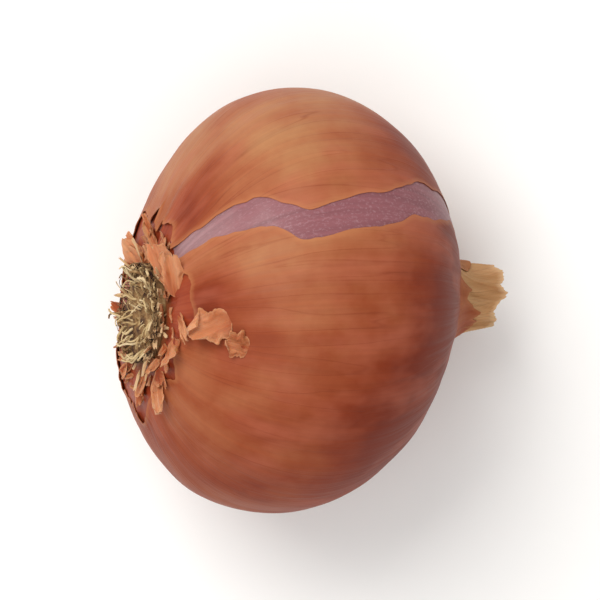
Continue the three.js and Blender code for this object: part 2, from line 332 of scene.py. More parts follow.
    def grain(self, theta: Array, phi: Array) -> Array:
        """Give coordinates in mm that run round the bulb and, as the third, from root to neck.

        The veins of a bulb scale follow its meridians and close up at both ends, as these do.
        """
        theta, phi = np.broadcast_arrays(theta, phi)
        mean = self.mean_half
        return np.stack([mean * np.cos(phi), mean * np.sin(phi), self.meridian_mm * theta], axis=-1)


@dataclass(frozen=True)
class SplitLine:
    """The long split in the outer skin, from root to neck, in degrees and mm."""

    path: tuple[tuple[float, float, float], ...] = (
        (20, 42, 0.8), (36, 36, 1.1), (54, 32, 1.7), (72, 22, 1.5),
        (93, 25, 1.75), (120, 32, 1.9), (145, 39, 1.2), (165, 40, 0.35),
    )

    def at(self, theta: Array) -> tuple[Array, Array]:
        """Give the split's middle as an azimuth and its half width in mm, for angles theta."""
        knots = np.array(self.path, float)
        deg = np.degrees(theta)
        k = np.clip(np.searchsorted(knots[:, 0], deg) - 1, 0, len(knots) - 2)
        share = np.clip((deg - knots[k, 0]) / (knots[k + 1, 0] - knots[k, 0]), 0.0, 1.0)
        share = share * share * (3 - 2 * share)
        middle = np.radians(lerp(knots[k, 1], knots[k + 1, 1], share))
        return middle, lerp(knots[k, 2], knots[k + 1, 2], share)


@dataclass(frozen=True)
class TornEdge:
    """The ragged edge of the outer skin round the root end: where the skin begins."""

    mean_deg: float = 25.5
    waves: tuple[tuple[int, float, float], ...] = ((3, 2.6, 1.1), (7, 2.0, 0.4), (12, 1.5, 2.3))
    rips: int = 26
    seed: int = 5

    def at(self, phi: Array) -> Array:
        """Give the plain edge's angle from the root pole, for azimuths phi."""
        waves = sum(depth * np.sin(count * phi + phase) for count, depth, phase in self.waves)
        return np.radians(self.mean_deg + waves)

    def ragged(self, phi: Array) -> Array:
        """Give the edge with its fine teeth and the short rips that run along the veins."""
        draw = np.random.default_rng(self.seed)
        ring = circle(phi)
        deg = 0.9 * fractal(ring * 8, 3, self.seed) + 0.5 * lattice_noise(ring * 34, self.seed + 9)
        for _ in range(self.rips):
            middle = draw.uniform(0, FULL_TURN)
            width = math.radians(draw.uniform(1.2, 3.4))
            depth = draw.uniform(0.6, 3.4)
            deg = deg + depth * np.clip(1 - np.abs(turn_between(phi, middle)) / width, 0, 1)
        return self.at(phi) + np.radians(deg)


@dataclass(frozen=True)
class Relief:
    """Soft dents, meridian folds and gathers of the skin, in mm, shared by skin and bulb."""

    form: BulbForm
    dent: float = 0.20
    fold: float = 0.07
    gather: float = 0.20
    settle: float = 0.24
    deepest: float = 0.5

    def at(self, theta: Array, phi: Array) -> Array:
        """Give the height over the plain form, never above it and never deeper than the deepest."""
        theta, phi = np.broadcast_arrays(theta, phi)
        grain = self.form.grain(theta, phi)
        body = self.form.body(theta, phi)
        dents = self.dent * fractal(body / 9.0, 2, 31)
        folds = self.fold * fractal(grain * np.array([0.33, 0.33, 0.035]), 2, 47)
        ends = smooth(theta, math.radians(125), math.radians(163))
        ends = ends + 0.45 * smooth(-theta, -math.radians(48), -math.radians(24))
        gathers = self.gather * ends * fractal(grain * np.array([0.30, 0.30, 0.03]), 2, 53)
        return np.clip(dents + folds + gathers - self.settle, -self.deepest, 0.0)


# Meshes


@dataclass
class MeshParts:
    """Points in mm, faces and per-point attributes of a mesh in the making."""

    points: list[Array] = field(default_factory=list)
    faces: list[tuple[int, ...]] = field(default_factory=list)
    attributes: dict[str, list[Array]] = field(default_factory=dict)
    count: int = 0

    def add(self, points: Array, faces: Sequence[tuple[int, ...]], **attributes: Array) -> None:
        """Add a closed body.

        Args:
            points: Its points, one row each.
            faces: Its faces, which count its own points from 0.
            **attributes: One row or number for each point.
        """
        self.faces += [tuple(corner + self.count for corner in face) for face in faces]
        self.points.append(points)
        for name, values in attributes.items():
            self.attributes.setdefault(name, []).append(np.asarray(values, float))
        self.count += len(points)

    def add_sheet(self, outer: Array, inner: Array, **attributes: Array) -> None:
        """Add a thin closed sheet between two grids of points.

        Args:
            outer: The points of one side, in rows and columns.
            inner: The points of the other side.
            **attributes: One row or number for each point of a side.
        """
        rows, cols = outer.shape[:2]
        both = {name: np.stack([v, v]).reshape(-1, *v.shape[2:]) for name, v in attributes.items()}
        points = np.stack([outer, inner]).reshape(-1, 3)
        self.add(points, sheet_faces(rows - 1, cols - 1), **both)

    def build(self, name: str, sharp_deg: float = 60.0) -> bpy.types.Object:
        """Make the mesh object, shaded smooth but for edges sharper than an angle.

        Args:
            name: The piece's name.
            sharp_deg: Edges that turn by more than this are drawn sharp.

        Returns:
            The new object, linked to the scene.
        """
        mesh = bpy.data.meshes.new(name)
        points = np.concatenate(self.points) * MM
        mesh.from_pydata(points.tolist(), [], self.faces)
        for key, chunks in self.attributes.items():
            values = np.concatenate(chunks)
            kind, word = ("FLOAT", "value") if values.ndim == 1 else ("FLOAT_VECTOR", "vector")
            attribute = mesh.attributes.new(key, kind, "POINT")
            attribute.data.foreach_set(word, values.astype(np.float32).ravel())
        shell = bmesh.new()
        shell.from_mesh(mesh)
        bmesh.ops.recalc_face_normals(shell, faces=shell.faces)
        shell.to_mesh(mesh)
        shell.free()
        mesh.shade_smooth()
        mesh.set_sharp_from_angle(angle=math.radians(sharp_deg))
        piece = bpy.data.objects.new(name, mesh)
        bpy.context.scene.collection.objects.link(piece)
        return piece


def sheet_faces(rows: int, cols: int) -> list[tuple[int, ...]]:
    """Give the faces of a thin sheet: its outer grid, its inner grid and the rim between them.

    Args:
        rows: Steps along the sheet.
        cols: Steps across it.

    Returns:
        Faces over (rows + 1) * (cols + 1) outer points followed by as many inner ones.
    """
    wide = cols + 1
    layer = (rows + 1) * wide
    faces = []
    for i in range(rows):
        for j in range(cols):
            a, b = i * wide + j, (i + 1) * wide + j
            c, d = b + 1, a + 1
            faces.append((a, b, c, d))
            faces.append((d + layer, c + layer, b + layer, a + layer))
        left, under = i * wide, (i + 1) * wide
        faces.append((under, left, left + layer, under + layer))
        left, under = left + cols, under + cols
        faces.append((left, under, under + layer, left + layer))
    for j in range(cols):
        faces.append((j, j + 1, j + 1 + layer, j + layer))
        low = rows * wide + j
        faces.append((low + 1, low, low + layer, low + 1 + layer))
    return faces


def ring_faces(rings: int, cols: int) -> list[tuple[int, ...]]:
    """Give the faces of a closed body of rings between a first and a last point.

    Args:
        rings: How many rings it has.
        cols: Points in each ring.

    Returns:
        Faces over the first point, the rings' points in order and the last point.
    """
    last = 1 + rings * cols
    faces = []
    for j in range(cols):
        k = (j + 1) % cols
        faces.append((0, 1 + j, 1 + k))
        for i in range(rings - 1):
            a, b = 1 + i * cols, 1 + (i + 1) * cols
            faces.append((a + j, b + j, b + k, a + k))
        end = 1 + (rings - 1) * cols
        faces.append((end + j, last, end + k))
    return faces


def tube_points(centres: Array, radii: Array, sides: int, across: Array) -> Array:
    """Give a round tube's points along a bent line: first end, rings, last end.

    Args:
        centres: The line's points.
        radii: The tube's radius at each of them.
        sides: Points in each ring.
        across: A direction that the line never follows.

    Returns:
        The points in the order that ring_faces takes.
    """
    along = np.gradient(centres, axis=0)
    along /= np.linalg.norm(along, axis=1, keepdims=True)
    first = np.cross(along, across)
    first /= np.linalg.norm(first, axis=1, keepdims=True)
    second = np.cross(first, along)
    angle = np.arange(sides) * FULL_TURN / sides
    cosine, sine = np.cos(angle)[None, :, None], np.sin(angle)[None, :, None]
    ring = first[:, None] * cosine + second[:, None] * sine
    rings = centres[:, None] + ring * radii[:, None, None]
    return np.concatenate([centres[:1], rings.reshape(-1, 3), centres[-1:]])


# Materials

# What a mix node is told to blend two colours, and to multiply them
BLEND = {"out": "Result_Color", "data_type": "RGBA"}
TINT = {**BLEND, "blend_type": "MULTIPLY"}


def linear(colour: str) -> tuple[float, float, float, float]:
    """Turn an sRGB hex colour to linear RGBA.

    Args:
        colour: Such as "#D08A62".

    Returns:
        Linear red, green, blue and 1.
    """
    parts = [int(colour[i:i + 2], 16) / 255 for i in (1, 3, 5)]
    red, green, blue = (p / 12.92 if p <= 0.04045 else ((p + 0.055) / 1.055) ** 2.4 for p in parts)
    return red, green, blue, 1.0


def add_node(
    tree: Tree,
    kind: str,
    inputs: Mapping[str, object] | None = None,
    out: str = "",
    stops: Sequence[tuple[float, str]] = (),
    **settings: object,
) -> Socket:
    """Add one node with its settings and links.

    Args:
        tree: The material's node tree.
        kind: The node's type without the words ShaderNode.
        inputs: A value, hex colour or output socket for each input, by name or identifier.
        out: The output to give back, by name or identifier, or the first one.
        stops: Places and hex colours, for a node with a colour ramp.
        **settings: The node's own properties.

    Returns:
        The output socket, or the node's first input where it has no output.
    """
    node = tree.nodes.new("ShaderNode" + kind)
    for key, value in settings.items():
        setattr(node, key, value)
    if stops:
        ramp = node.color_ramp.elements
        ramp.remove(ramp[1])
        ramp[0].position = stops[0][0]
        ramp[0].color = linear(stops[0][1])
        for place, colour in stops[1:]:
            ramp.new(place).color = linear(colour)
    for key, value in (inputs or {}).items():
        socket = next(s for s in node.inputs if key in (s.identifier, s.name))
        if isinstance(value, Socket):
            tree.links.new(value, socket)
        else:
            socket.default_value = linear(value) if isinstance(value, str) else value
    if not node.outputs:
        return node.inputs[0]
    return next((s for s in node.outputs if out in (s.identifier, s.name)), node.outputs[0])


@dataclass(frozen=True)
class Finish:
    """A surface finish. Each kind says what its shader is."""

    name: str

    def shader(self, tree: Tree) -> Socket:
        """Build the nodes and give the shader's output."""
        raise NotImplementedError

    def material(self) -> bpy.types.Material:
        """Give the finish's material, made once."""
        made = bpy.data.materials.get(self.name)
        if made is None:
            made = bpy.data.materials.new(self.name)
            made.use_nodes = True
            made.node_tree.nodes.clear()
            add_node(made.node_tree, "OutputMaterial", {"Surface": self.shader(made.node_tree)})
        return made


@dataclass(frozen=True)
class VeinPattern:
    """A pattern drawn out along the veins: its width across them in mm and its features per mm."""

    width_mm: float
    along: float
    detail: float = 3.0
    roughness: float = 0.6
    distortion: float = 0.0

    def lay(self, tree: Tree, grain: Socket) -> Socket:
        """Lay it over grain, the coordinates in mm that follow the veins."""
        stretched = add_node(tree, "VectorMath", {
            "Vector": grain, "Vector_001": (1 / self.width_mm, 1 / self.width_mm, self.along)},
            operation="MULTIPLY")
        return add_node(tree, "TexNoise", {
            "Vector": stretched, "Scale": 1.0, "Detail": self.detail,
            "Roughness": self.roughness, "Distortion": self.distortion})


@dataclass(frozen=True)
class DryScaleLeaf(Finish):
    """Dry outer scale leaf of a bulb: cellulose film, cured copper brown, with parallel veins.

    It dried on the bulb, so it is satin along the veins, finely ribbed, blotched where it sat
    tight, and paler and thinner at every torn edge. Tones run from light to deep.
    """

    tones: tuple[tuple[float, str], ...]
    vein: str
    edge: str
    rosy: str
    edge_mm: float = 0.55
    edge_share: float = 0.75
    blotch_mm: float = 7.0
    band_mm: float = 4.2
    band_share: float = 0.35
    contrast: float = 1.25
    rosy_mm: float = 5.5
    rosy_most: float = 0.5
    vein_mm: float = 2.1
    vein_least: float = 0.04
    vein_most: float = 0.42
    rib_mm: float = 0.5
    rib_tone: float = 0.065
    cell_mm: float = 0.16
    bump_mm: float = 0.07
    roughness: float = 0.5
    glow: float = 0.0
    glow_mm: float = 0.6

    def shader(self, tree: Tree) -> Socket:
        """Build blotches, rosy patches, ribs, veins, cells and the pale torn edge."""
        node = partial(add_node, tree)
        grain = node("Attribute", out="Vector", attribute_name="grain")
        blush = node("Attribute", out="Fac", attribute_name="blush")
        edge = node("Attribute", out="Fac", attribute_name="edge")
        place = node("TexCoord", out="Object")
        blotch = node("TexNoise", {
            "Vector": place, "Scale": PER_MM / self.blotch_mm, "Detail": 4.0, "Roughness": 0.55})
        band = VeinPattern(self.band_mm, 0.02, detail=2.0, roughness=0.5).lay(tree, grain)
        mixed = node("Mix", {
            "Factor_Float": self.band_share, "A_Float": blotch, "B_Float": band},
            out="Result_Float")
        # The mesh's attribute deepens the tone: the piece's own red places and the painted shade
        # laid into the mesh.
        tone = node("Math", {
            "Value": mixed, "Value_001": self.contrast, "Value_002": blush},
            operation="MULTIPLY_ADD")
        tone = node("Math", {"Value": tone, "Value_001": self.contrast / 2}, operation="SUBTRACT")
        colour = node("ValToRGB", {"Fac": tone}, stops=self.tones)
        rosy = VeinPattern(self.rosy_mm, 0.10, roughness=0.55).lay(tree, grain)
        rosy = node("MapRange", {
            "Value": rosy, "From Min": 0.5, "From Max": 0.72,
            "To Min": 0.0, "To Max": self.rosy_most})
        colour = node("Mix", {
            "Factor_Float": rosy, "A_Color": colour, "B_Color": self.rosy}, **BLEND)

        rib = VeinPattern(self.rib_mm, 0.06).lay(tree, grain)
        rib_tone = node("MapRange", {
            "Value": rib, "From Min": 0.3, "From Max": 0.7,
            "To Min": 1 - self.rib_tone, "To Max": 1 + self.rib_tone})
        colour = node("Mix", {"Factor_Float": 1.0, "A_Color": colour, "B_Color": rib_tone}, **TINT)

        # A vein runs where its pattern crosses the middle, and fades in and out with the blotches.
        vein = VeinPattern(self.vein_mm, 0.035, 1.5, 0.4, 0.25).lay(tree, grain)
        off = node("Math", {"Value": vein, "Value_001": 0.5}, operation="SUBTRACT")
        off = node("Math", {"Value": off}, operation="ABSOLUTE")
        line = node("MapRange", {
            "Value": off, "From Min": 0.002, "From Max": 0.018, "To Min": 1.0, "To Max": 0.0})
        fade = node("MapRange", {
            "Value": blotch, "From Min": 0.36, "From Max": 0.62,
            "To Min": self.vein_least, "To Max": self.vein_most})
        shown = node("Math", {"Value": line, "Value_001": fade}, operation="MULTIPLY")
        colour = node("Mix", {
            "Factor_Float": shown, "A_Color": colour, "B_Color": self.vein}, **BLEND)

        wander = node("Math", {
            "Value": rib, "Value_001": -0.5 * self.edge_mm, "Value_002": edge},
            operation="MULTIPLY_ADD")
        pale = node("MapRange", {
            "Value": wander, "From Min": 0.0, "From Max": self.edge_mm,
            "To Min": self.edge_share, "To Max": 0.0})
        colour = node("Mix", {
            "Factor_Float": pale, "A_Color": colour, "B_Color": self.edge}, **BLEND)

        cell = VeinPattern(self.cell_mm, 0.3 / self.cell_mm, 1.0, 0.5).lay(tree, grain)
        height = node("Math", {
            "Value": cell, "Value_001": 0.22, "Value_002": rib}, operation="MULTIPLY_ADD")
        height = node("Math", {
            "Value": line, "Value_001": 0.3, "Value_002": height}, operation="MULTIPLY_ADD")
        bump = node("Bump", {"Strength": 0.55, "Distance": self.bump_mm * MM, "Height": height})
        gloss = node("MapRange", {
            "Value": rib, "From Min": 0.3, "From Max": 0.7,
            "To Min": self.roughness - 0.07, "To Max": self.roughness + 0.09})
        # Dry cellulose: IOR about 1.5. Flakes let some light through, the tight skin none.
        return node("BsdfPrincipled", {
            "Base Color": colour, "Roughness": gloss, "IOR": 1.5, "Normal": bump,
            "Specular IOR Level": 0.16, "Subsurface Weight": self.glow,
            "Subsurface Radius": (1.0, 0.45, 0.25), "Subsurface Scale": self.glow_mm * MM})


@dataclass(frozen=True)
class FleshyScale(Finish):
    """Living outer scale under the dry skin: moist, smooth and violet, whitish towards the root.

    Round the root end a last thin orange-red skin still covers it, with a crisp edge.
    """

    pale: str = "#936E70"
    violet: str = "#875459"
    deep: str = "#80494F"
    speck: str = "#A98388"
    cover: tuple[tuple[float, str], ...] = (
        (0.25, "#702412"), (0.5, "#8E381C"), (0.8, "#A54F2C"))
    crown: str = "#76502F"
    soft_mm: float = 4.0
    speck_mm: float = 0.26
    stripe_mm: float = 0.7
    stripe_tone: float = 0.16
    bump_mm: float = 0.05
    roughness: float = 0.38
    cover_roughness: float = 0.46

    def shader(self, tree: Tree) -> Socket:
        """Build the violet scale, its specks and stripes, and the skin that still covers it."""
        node = partial(add_node, tree)
        grain = node("Attribute", out="Vector", attribute_name="grain")
        lilac = node("Attribute", out="Fac", attribute_name="lilac")
        angle = node("Attribute", out="Fac", attribute_name="angle")
        place = node("TexCoord", out="Object")
        soft = node("TexNoise", {"Vector": place, "Scale": PER_MM / self.soft_mm, "Detail": 3.0})
        stripe = VeinPattern(self.stripe_mm, 0.04).lay(tree, grain)

        # From the root on, whitish turns to violet and late to deep violet, in degrees.
        drift = node("Math", {
            "Value": soft, "Value_001": 40.0, "Value_002": angle}, operation="MULTIPLY_ADD")
        scale: str | Socket = self.pale
        for tone, first, last in ((self.violet, 55.0, 82.0), (self.deep, 110.0, 150.0)):
            turned = node("MapRange", {"Value": drift, "From Min": first, "From Max": last})
            scale = node("Mix", {
                "Factor_Float": turned, "A_Color": scale, "B_Color": tone}, **BLEND)
        stripe_tone = node("MapRange", {
            "Value": stripe, "From Min": 0.3, "From Max": 0.7,
            "To Min": 1 - self.stripe_tone, "To Max": 1 + self.stripe_tone})
        scale = node("Mix", {"Factor_Float": 1.0, "A_Color": scale, "B_Color": stripe_tone}, **TINT)
        # Real cells are near 0.1 mm, so the specks are drawn coarser to show.
        speck = VeinPattern(self.speck_mm, 0.6 / self.speck_mm, 2.0, 0.7).lay(tree, grain)
        light = node("MapRange", {
            "Value": speck, "From Min": 0.52, "From Max": 0.72, "To Min": 0.0, "To Max": 0.5})
        scale = node("Mix", {
            "Factor_Float": light, "A_Color": scale, "B_Color": self.speck}, **BLEND)

        mixed = node("Math", {"Value": soft, "Value_001": stripe}, operation="ADD")
        mixed = node("Math", {"Value": mixed, "Value_001": 0.5}, operation="MULTIPLY")
        cover = node("ValToRGB", {"Fac": mixed}, stops=self.cover)
        crown = node("MapRange", {
            "Value": angle, "From Min": 12.0, "From Max": 17.5, "To Min": 0.9, "To Max": 0.0})
        cover = node("Mix", {
            "Factor_Float": crown, "A_Color": cover, "B_Color": self.crown}, **BLEND)
        inside = node("Math", {
            "Value": stripe, "Value_001": 0.5, "Value_002": lilac}, operation="MULTIPLY_ADD")
        inside = node("MapRange", {"Value": inside, "From Min": 0.2, "From Max": 0.32})
        colour = node("Mix", {"Factor_Float": inside, "A_Color": cover, "B_Color": scale}, **BLEND)
        gloss = node("MapRange", {
            "Value": inside, "To Min": self.cover_roughness, "To Max": self.roughness})
        bump = node("Bump", {"Strength": 0.4, "Distance": self.bump_mm * MM, "Height": stripe})
        # Moist plant tissue: IOR about 1.4, with a little light carried below the surface.
        return node("BsdfPrincipled", {
            "Base Color": colour, "Roughness": gloss, "IOR": 1.4, "Normal": bump,
            "Specular IOR Level": 0.3, "Subsurface Weight": 0.12,
            "Subsurface Radius": (1.0, 0.4, 0.4), "Subsurface Scale": 0.5 * MM})


@dataclass(frozen=True)
class DryFibre(Finish):
    """Dried root fibre and corky plate: straw to dark brown, dull, finely ridged along the root."""

    tones: tuple[tuple[float, str], ...]
    grit_mm: float = 0.25
    patch_mm: float = 1.6
    mottle: float = 0.38
    bump_mm: float = 0.08
    roughness: float = 0.82

    def shader(self, tree: Tree) -> Socket:
        """Build straw, brown and earthy tones by each root's own tone and a fine grit."""
        node = partial(add_node, tree)
        tone = node("Attribute", out="Fac", attribute_name="tone")
        place = node("TexCoord", out="Object")
        grit, patch = (
            node("TexNoise", {"Vector": place, "Scale": PER_MM / size_mm, "Detail": detail})
            for size_mm, detail in ((self.grit_mm, 3.0), (self.patch_mm, 2.0)))
        mixed = node("Math", {"Value": grit, "Value_001": patch}, operation="ADD")
        mixed = node("Math", {
            "Value": mixed, "Value_001": self.mottle, "Value_002": tone}, operation="MULTIPLY_ADD")
        mixed = node("Math", {"Value": mixed, "Value_001": self.mottle}, operation="SUBTRACT")
        colour = node("ValToRGB", {"Fac": mixed}, stops=self.tones)
        bump = node("Bump", {"Strength": 0.7, "Distance": self.bump_mm * MM, "Height": grit})
        return node("BsdfPrincipled", {
            "Base Color": colour, "Roughness": self.roughness, "IOR": 1.5, "Normal": bump,
            "Specular IOR Level": 0.3})


@dataclass(frozen=True)
class MattBoard(Finish):
    """Smooth white laminate board with a faint tooth, as a picture table has."""

    colour: str = "#F6F5F3"
    mottle_mm: float = 3.0

    def shader(self, tree: Tree) -> Socket:
        """Build a nearly even white with a faint mottle."""
        node = partial(add_node, tree)
        place = node("TexCoord", out="Object")
        mottle = node("TexNoise", {
            "Vector": place, "Scale": PER_MM / self.mottle_mm, "Detail": 2.0})
        tone = node("MapRange", {"Value": mottle, "To Min": 0.985, "To Max": 1.0})
        colour = node("Mix", {"Factor_Float": 1.0, "A_Color": self.colour, "B_Color": tone}, **TINT)
        return node("BsdfPrincipled", {
            "Base Color": colour, "Roughness": 0.7, "Specular IOR Level": 0.2})


COPPER_SKIN = DryScaleLeaf(
    "cured_copper_scale_leaf",
    tones=(
        (0.0, "#AF7950"), (0.3, "#A15D3B"), (0.55, "#904425"), (0.8, "#803115"), (1.0, "#71260E")),
    vein="#7A3219", edge="#BE7D50", rosy="#AE5F47", edge_share=0.3)
PEACH_SKIN = DryScaleLeaf(
    "bleached_papery_scale_leaf",
    tones=((0.0, "#CC8F6A"), (0.35, "#BB754F"), (0.7, "#9D4D29"), (1.0, "#7C341A")),
    vein="#8C4224", edge="#C98F66", rosy="#BC6E4C", edge_mm=0.24, edge_share=0.45,
    vein_mm=0.9, rib_mm=0.3, rib_tone=0.14, glow=0.3)
STRAW_PAPER = DryScaleLeaf(
    "withered_leaf_base_paper",
    tones=((0.0, "#CFA477"), (0.4, "#B98A5C"), (0.75, "#99683E"), (1.0, "#6B4124")),
    vein="#7A4A29", edge="#D3B087", rosy="#B08458", vein_mm=1.2, roughness=0.6, glow=0.15)
VIOLET_SCALE = FleshyScale("moist_violet_bulb_scale")
ROOT_FIBRE = DryFibre(
    "dried_root_fibre",
    tones=(
        (0.0, "#DBC49B"), (0.35, "#BFA476"), (0.6, "#8C6942"), (0.85, "#452918"), (1.0, "#28160D")))
WHITE_BOARD = MattBoard("matt_white_laminate")


# Pieces


def dress(piece: bpy.types.Object, finish: Finish, slot: Slot, *nodes: str) -> bpy.types.Object:
    """Give a piece its finish and its body, and hide the CAD nodes that it stands for.

    Args:
        piece: The finished mesh object.
        finish: Its material.
        slot: The record's slot for that material; not used.
        *nodes: CAD nodes that it replaces.

    Returns:
        The same piece.
    """
    piece.data.materials.append(finish.material())
    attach(piece, BODY)
    if nodes:
        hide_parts(*nodes)
    log.info("%s: %d faces, %s", piece.name, len(piece.data.polygons), finish.name)
    return piece


@dataclass
class FleshyBulb:
    """The bulb inside its skin: the violet scale and the last red skin round the root end."""

    form: BulbForm
    split: SplitLine
    relief: Relief
    rows: int = 150
    cols: int = 260
    scale_lift: float = -0.105
    cover_step: float = 0.01
    # Fine steps of older scale round the root: height, edges and end, in mm and degrees
    layer_step: float = 0.10
    layer_edges: tuple[float, ...] = (16.4, 20.0)
    layer_slope: float = 0.5
    layers_end: float = 60.0
    # The bare violet zone: how far it passes the split's edge, and how it opens from the root
    bare_margin: float = 1.1
    bare_from: float = 23.0
    bare_opening: float = 0.34
    poles_sunk: float = 0.7

    def lilac(self, theta: Array, phi: Array) -> Array:
        """Give how far in mm a place lies inside the bare violet zone."""
        middle, half = self.split.at(theta)
        aside = np.abs(turn_between(phi, middle)) * self.form.around_mm(theta, phi)
        wander = 0.5 * fractal(self.form.body(theta, phi) / 2.2, 2, 71)
        from_root = (np.degrees(theta) - self.bare_from) * self.bare_opening
        return np.minimum(half + self.bare_margin + wander - aside, from_root + wander)

    def build(self) -> bpy.types.Object:
        """Make the bulb."""
        theta, phi = np.broadcast_arrays(
            (np.arange(1, self.rows) * math.pi / self.rows)[:, None],
            (np.arange(self.cols) * FULL_TURN / self.cols)[None, :])
        deg, grain, lilac = np.degrees(theta), self.form.grain(theta, phi), self.lilac(theta, phi)
        edge = deg + 1.6 * fractal(grain * np.array([0.3, 0.3, 0.0]), 3, 83)
        layers = sum(smooth(edge, at, at + self.layer_slope) - 1 for at in self.layer_edges)
        lift = self.relief.at(theta, phi) + self.scale_lift
        lift = lift + self.cover_step * smooth(-lilac, -0.1, 0.15)
        lift = lift + self.layer_step * layers * (deg < self.layers_end)
        points = self.form.skin(theta, phi, lift).reshape(-1, 3)
        poles = self.form.skin(np.array([0.0, math.pi]), np.zeros(2), -self.poles_sunk)
        parts = MeshParts()
        parts.add(
            capped(poles[0], points, poles[1]), ring_faces(self.rows - 1, self.cols),
            grain=capped([0, 0, 0], grain.reshape(-1, 3), [0, 0, 60]),
            lilac=capped(-5.0, lilac.ravel(), -5.0), angle=capped(0.0, deg.ravel(), 180.0))
        return dress(parts.build("fleshy_bulb"), VIOLET_SCALE, Slot.FLESH, "bulb")


@dataclass
class CopperSkin:
    """The outermost dry skin: split lengthwise, torn off round the root, gathered at the neck."""

    form: BulbForm
    split: SplitLine
    torn: TornEdge
    relief: Relief
    rows: int = 132
    neck_rows: int = 14
    cols: int = 290
    crowd_cols: float = 0.62
    crowd_rows: float = 0.4
    thick: float = 0.07
    curl: float = 0.42
    curl_mm: float = 1.8
    # The split's edges: their jags, how many to a radian, and the least half gap
    jag: float = 0.22
    jags: float = 11.0
    least_half: float = 0.08
    # On the neck: how far the hem reaches, how ragged it is, and how loosely the skin lies
    neck_mm: float = 2.6
    neck_ragged: float = 0.35
    neck_lift: float = 0.06
    neck_paler: float = 0.25
    neck_paler_from: float = 138.0
    # Deep red places and painted shade: angle from the root, azimuth, radius, all in degrees, and
    # strength. Round the tear and over the middle they are the skin's own tone; at the neck end,
    # from 108 degrees on, they are partly its deeper red and partly painted shade.
    blushes: tuple[tuple[float, float, float, float], ...] = (
        (34, 8, 9, 0.3), (28, -3, 9, 0.24), (41, -3, 9, 0.22), (32, 50, 8, 0.35), (31, 64, 9, 0.3),
        (52, -6, 13, 0.15), (62, -38, 16, 0.1), (108, -30, 24, 0.35), (126, 10, 26, 0.45),
        (118, 55, 18, 0.35), (76, 62, 20, -0.12), (60, 48, 14, 0.05), (84, 5, 12, 0.06),
        (95, 45, 16, 0.12), (118, -60, 30, 0.4), (44, 62, 10, 0.2),
        (142, 60, 26, 0.3), (146, 0, 30, 0.25),
    )

    def blush(self, theta: Array, phi: Array) -> Array:
        """Give how red the skin is drawn, 0 light copper to 1 deep orange red, painted shade
        included.
        """
        # Lighter on the upper side, redder and darker towards the lower side and underneath: partly
        # the skin's own tone, partly painted shade.
        total = 0.40 - 0.17 * np.cos(phi - math.radians(75))
        for at, round_deg, radius, strength in self.blushes:
            across = turn_between(phi, math.radians(round_deg)) * np.sin(theta)
            off = np.degrees(np.hypot(theta - math.radians(at), across)) / radius
            total = total + strength * np.exp(-(off**2))
        return total

    def build(self) -> bpy.types.Object:
        """Make the skin as one thin closed sheet."""
        # Columns crowd together beside the split, and rows at the torn edge.
        step = np.arange(self.cols + 1) / self.cols
        share = step - self.crowd_cols * np.sin(FULL_TURN * step) / FULL_TURN
        to_split = np.minimum(share, 1 - share)
        down = np.arange(self.rows + 1) / self.rows
        down = self.crowd_rows * down**2 + (1 - self.crowd_rows) * down
        start = self.split.at(np.array(math.radians(self.torn.mean_deg)))[0]
        begin = self.torn.ragged(start + share * FULL_TURN)[None, :]
        rim = math.radians(self.form.neck.rim_deg)
        theta = lerp(begin, rim, down[:, None])
        middle, half = self.split.at(theta)
        line = np.stack([theta * self.jags, 0 * theta, 0 * theta], axis=-1)
        left, right = (
            np.maximum(half + self.jag * fractal(line + shift, 3, seed), self.least_half)
            / self.form.around_mm(theta, middle) for shift, seed in ((0, 11), (40, 13)))
        phi = middle + left + share * (FULL_TURN - left - right)
        beside = to_split * FULL_TURN * self.form.around_mm(theta, phi)
        from_tear = (theta - begin) * self.form.meridian_mm

        wave = self.form.grain(theta, phi) * np.array([0.22, 0.22, 0.0])
        wave = 0.5 + 0.5 * fractal(wave, 3, 19)
        curl = np.clip(wave, 0, 1.4) * np.clip(1 - from_tear / self.curl_mm, 0, 1) ** 2
        lift = self.relief.at(theta, phi) + self.curl * curl

        # Past the shoulder the skin runs up the neck and ends in a ragged hem.
        hem = self.neck_mm * (1 + self.neck_ragged * fractal(circle(phi[-1]) * 3, 3, 29))
        height = np.arange(1, self.neck_rows + 1)[:, None] / self.neck_rows
        height = height * (hem * np.clip(to_split * 22, 0.25, 1))[None, :]
        neck_phi = np.broadcast_to(phi[-1], height.shape)
        settled = np.exp(-height / 0.8)
        girth = self.form.neck_girth(height)
        shrink = 1 + (lift[-1][None, :] * settled + self.neck_lift * (1 - settled)) / girth
        outer, inner = (
            np.concatenate([
                self.form.skin(theta, phi, lift - depth),
                self.form.neck_points(height, neck_phi, shrink - depth / girth)])
            for depth in (0.0, self.thick))

        all_theta = np.concatenate([theta, rim + height / self.form.axial_half])
        all_phi = np.concatenate([phi, neck_phi])
        edge = np.concatenate([np.minimum(beside, from_tear), hem[None, :] - height])
        paler = smooth(theta + 0.05 * wave, math.radians(self.neck_paler_from), rim)
        paler = self.neck_paler * np.concatenate([paler, np.ones_like(height)])
        parts = MeshParts()
        parts.add_sheet(
            outer, inner, grain=self.form.grain(all_theta, all_phi),
            edge=np.minimum(edge, FAR_MM), blush=self.blush(all_theta, all_phi) - paler)
        return dress(parts.build("copper_skin"), COPPER_SKIN, Slot.SKIN, "outer_skin")


